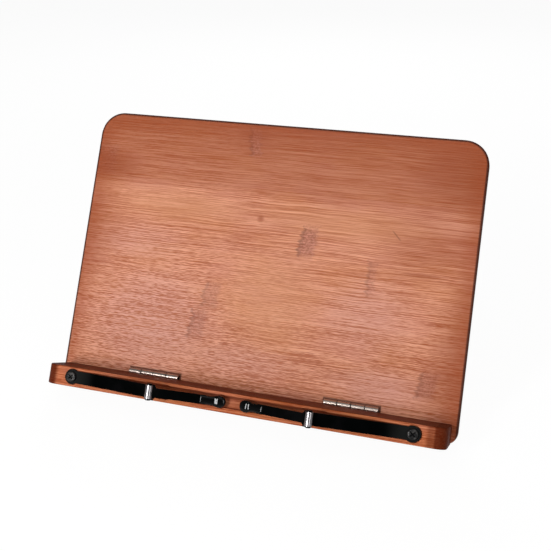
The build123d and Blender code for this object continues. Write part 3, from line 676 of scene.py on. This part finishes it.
def dipped_tip(side, name):
    """Round dipped tip that necks down into a flat sheath over the arm's end."""
    mesh = bmesh.new()
    rings = [tip_ring(mesh, side, *sizes) for sizes in TIP_RINGS]
    for low, high in zip(rings, rings[1:]):
        for index in range(RING_POINTS):
            after = (index + 1) % RING_POINTS
            mesh.faces.new((low[index], low[after], high[after], high[index]))
    mesh.faces.new(rings[0])
    mesh.faces.new(rings[-1])
    bmesh.ops.recalc_face_normals(mesh, faces=mesh.faces)
    for face in mesh.faces:
        face.smooth = True
    data = bpy.data.meshes.new(name)
    mesh.to_mesh(data)
    mesh.free()
    piece = bpy.data.objects.new(name, data)
    bpy.context.scene.collection.objects.link(piece)
    piece.modifiers.new("smooth", "SUBSURF").render_levels = 2
    data.materials.append(materials["black_dip"])
    return piece


for side, hand in ((-1, "left"), (1, "right")):
    tip = dipped_tip(side, f"{hand}_dipped_tip")
    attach(tip, f"{hand}_clip_upper")
    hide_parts(f"{hand}_clip_tip")


# Camera where the photograph was taken from, measured from the board's origin in metres
CAMERA_PLACE = Vector(BOARD_ORIGIN) + Vector((0.20623, -0.592737, 0.396290))
CAMERA_AZIMUTH = radians(16.644)
CAMERA_ELEVATION = radians(22.060)

camera_data = bpy.data.cameras.new("camera")
camera_data.lens = 58.02
camera_data.sensor_width = 36.0
camera_data.shift_x = -0.0150
camera_data.shift_y = -0.0807
camera_data.clip_start = 0.01
camera = bpy.data.objects.new("camera", camera_data)
camera.location = CAMERA_PLACE
camera.rotation_euler = (pi / 2 - CAMERA_ELEVATION, 0.0, CAMERA_AZIMUTH)
bpy.context.scene.collection.objects.link(camera)
bpy.context.scene.camera = camera
bpy.context.scene.view_settings.view_transform = "Standard"

STAND_MIDDLE = Vector((0.0, 0.0, 0.08))


def area_light(name, place, width, height, power):
    """Softbox that faces the stand, in metres and watts."""
    data = bpy.data.lights.new(name, "AREA")
    data.shape = "RECTANGLE"
    data.size = width
    data.size_y = height
    data.energy = power
    light = bpy.data.objects.new(name, data)
    light.location = place
    light.rotation_euler = (STAND_MIDDLE - Vector(place)).to_track_quat("-Z", "Y").to_euler()
    bpy.context.scene.collection.objects.link(light)


area_light("key", (-0.38, -1.09, 0.50), 0.18, 0.52, 9.3)
area_light("top", (0.25, -0.75, 1.30), 1.10, 1.10, 3.0)
area_light("side", (0.84, -0.84, 0.48), 0.26, 0.50, 2.3)
area_light("back", (-0.3, 1.5, 1.1), 0.90, 0.90, 9.0)

WHITE = (1.0, 1.0, 1.0, 1.0)
AMBIENT = 0.16
BACKDROP_EDGE = (0.38, 0.24)  # sines of elevation between the dim ceiling and the white backdrop
GLOSS_SHARE = 0.15  # how much of the white surroundings shows in glossy surfaces
FLOOR_HALF = 12.0
FLOOR_PAPER = (0.8, 0.8, 0.8, 1.0)
FLOOR_GLOW = 1.05
FLOOR_GLOW_SHARE = 0.90


def seen_straight(shader):
    """1 for rays from the camera, GLOSS_SHARE for rays off gloss and 0 for the rest."""
    path = shader.node("LightPath", {}).outputs
    return shader.largest(path["Is Camera Ray"], shader.times(path["Is Glossy Ray"], GLOSS_SHARE))


class WorldShader(Shader):
    """The same short ways for the world's nodes."""

    def __init__(self, name):
        self.world = bpy.data.worlds.new(name)
        self.world.use_nodes = True
        self.tree = self.world.node_tree
        self.tree.nodes.clear()


studio = WorldShader("studio")
sky = studio.split(studio.node("TexCoord", {}).outputs["Generated"])[2]
backdrop = studio.times(studio.step(sky, *BACKDROP_EDGE), seen_straight(studio))
strength = studio.add(AMBIENT, backdrop, 1.0 - AMBIENT)
light = studio.node("Background", {"Color": WHITE, "Strength": strength})
studio.node("OutputWorld", {"Surface": light.outputs[0]})
bpy.context.scene.world = studio.world

floor_mesh = bpy.data.meshes.new("floor")
signs = ((-1, -1), (1, -1), (1, 1), (-1, 1))
corners = [(sx * FLOOR_HALF, sy * FLOOR_HALF, 0.0) for sx, sy in signs]
floor_mesh.from_pydata(corners, [], [(0, 1, 2, 3)])
floor = bpy.data.objects.new("floor", floor_mesh)
bpy.context.scene.collection.objects.link(floor)

pale = Shader("pale_floor")
paper = pale.node("BsdfDiffuse", {"Color": FLOOR_PAPER})
glow = pale.node("Emission", {"Color": WHITE, "Strength": FLOOR_GLOW})
share = pale.times(seen_straight(pale), FLOOR_GLOW_SHARE)
both = pale.node("MixShader", {0: share, 1: paper.outputs[0], 2: glow.outputs[0]})
pale.tree.links.new(both.outputs[0], pale.tree.nodes["Material Output"].inputs["Surface"])
floor_mesh.materials.append(pale.material)
